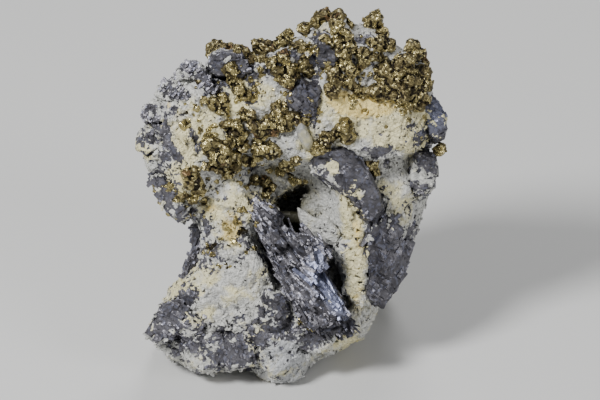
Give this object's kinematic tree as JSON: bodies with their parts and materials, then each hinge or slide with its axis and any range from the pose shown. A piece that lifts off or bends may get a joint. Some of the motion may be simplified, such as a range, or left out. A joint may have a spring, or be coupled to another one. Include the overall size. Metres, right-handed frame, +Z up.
{
  "type": "mineral specimen",
  "caption": "Free-standing mineral specimen: brassy chalcopyrite crystals and dark galena on a broken block of quartz with a hollow; rests on its flat base.",
  "frame": {"origin": "middle of the whole specimen's box, on the level of the flat base that it stands on", "axes": "+Z up; -Y out of the face that carries the crystals; +X to the right of someone who looks at that face"},
  "size_m": [0.0776, 0.054, 0.094],
  "materials": {
    "quartz": "rough, broken milky quartz with cream and orange staining",
    "quartz_blade": "smooth, slightly translucent quartz blade",
    "galena": "lead-grey metallic cleavage faces, stepped",
    "chalcopyrite": "tarnished brassy metallic crystal faces"
  },
  "bodies": {
    "root": {"brow_blade": "quartz_blade", "chalcopyrite_belt": "chalcopyrite", "chalcopyrite_brow": "chalcopyrite", "chalcopyrite_centre": "chalcopyrite", "chalcopyrite_crown": "chalcopyrite", "chalcopyrite_dark_low": "chalcopyrite", "chalcopyrite_east": "chalcopyrite", "chalcopyrite_edge_tip": "chalcopyrite", "chalcopyrite_left_column": "chalcopyrite", "chalcopyrite_left_trio": "chalcopyrite", "chalcopyrite_lip": "chalcopyrite", "chalcopyrite_lobe_low": "chalcopyrite", "chalcopyrite_mid_pair": "chalcopyrite", "chalcopyrite_peak": "chalcopyrite", "chalcopyrite_shoulder": "chalcopyrite", "chalcopyrite_tower": "chalcopyrite", "chalcopyrite_vug_brow": "chalcopyrite", "chalcopyrite_west_ridge": "chalcopyrite", "galena_centre_crystal": "galena", "galena_cleavage_block": "galena", "galena_crown_block": "galena", "galena_dark_cubes": "galena", "galena_dome": "galena", "galena_edge_knob": "galena", "galena_flank": "galena", "galena_foot_front": "galena", "galena_foot_left": "galena", "galena_foot_right": "galena", "galena_neck_plate": "galena", "galena_right_crystal": "galena", "galena_rim_1": "galena", "galena_rim_2": "galena", "galena_rim_3": "galena", "galena_rim_4": "galena", "galena_rim_5": "galena", "leaf_blade": "quartz_blade", "quartz_matrix": "quartz", "vug_blade": "quartz_blade"}
  },
  "joints": []
}
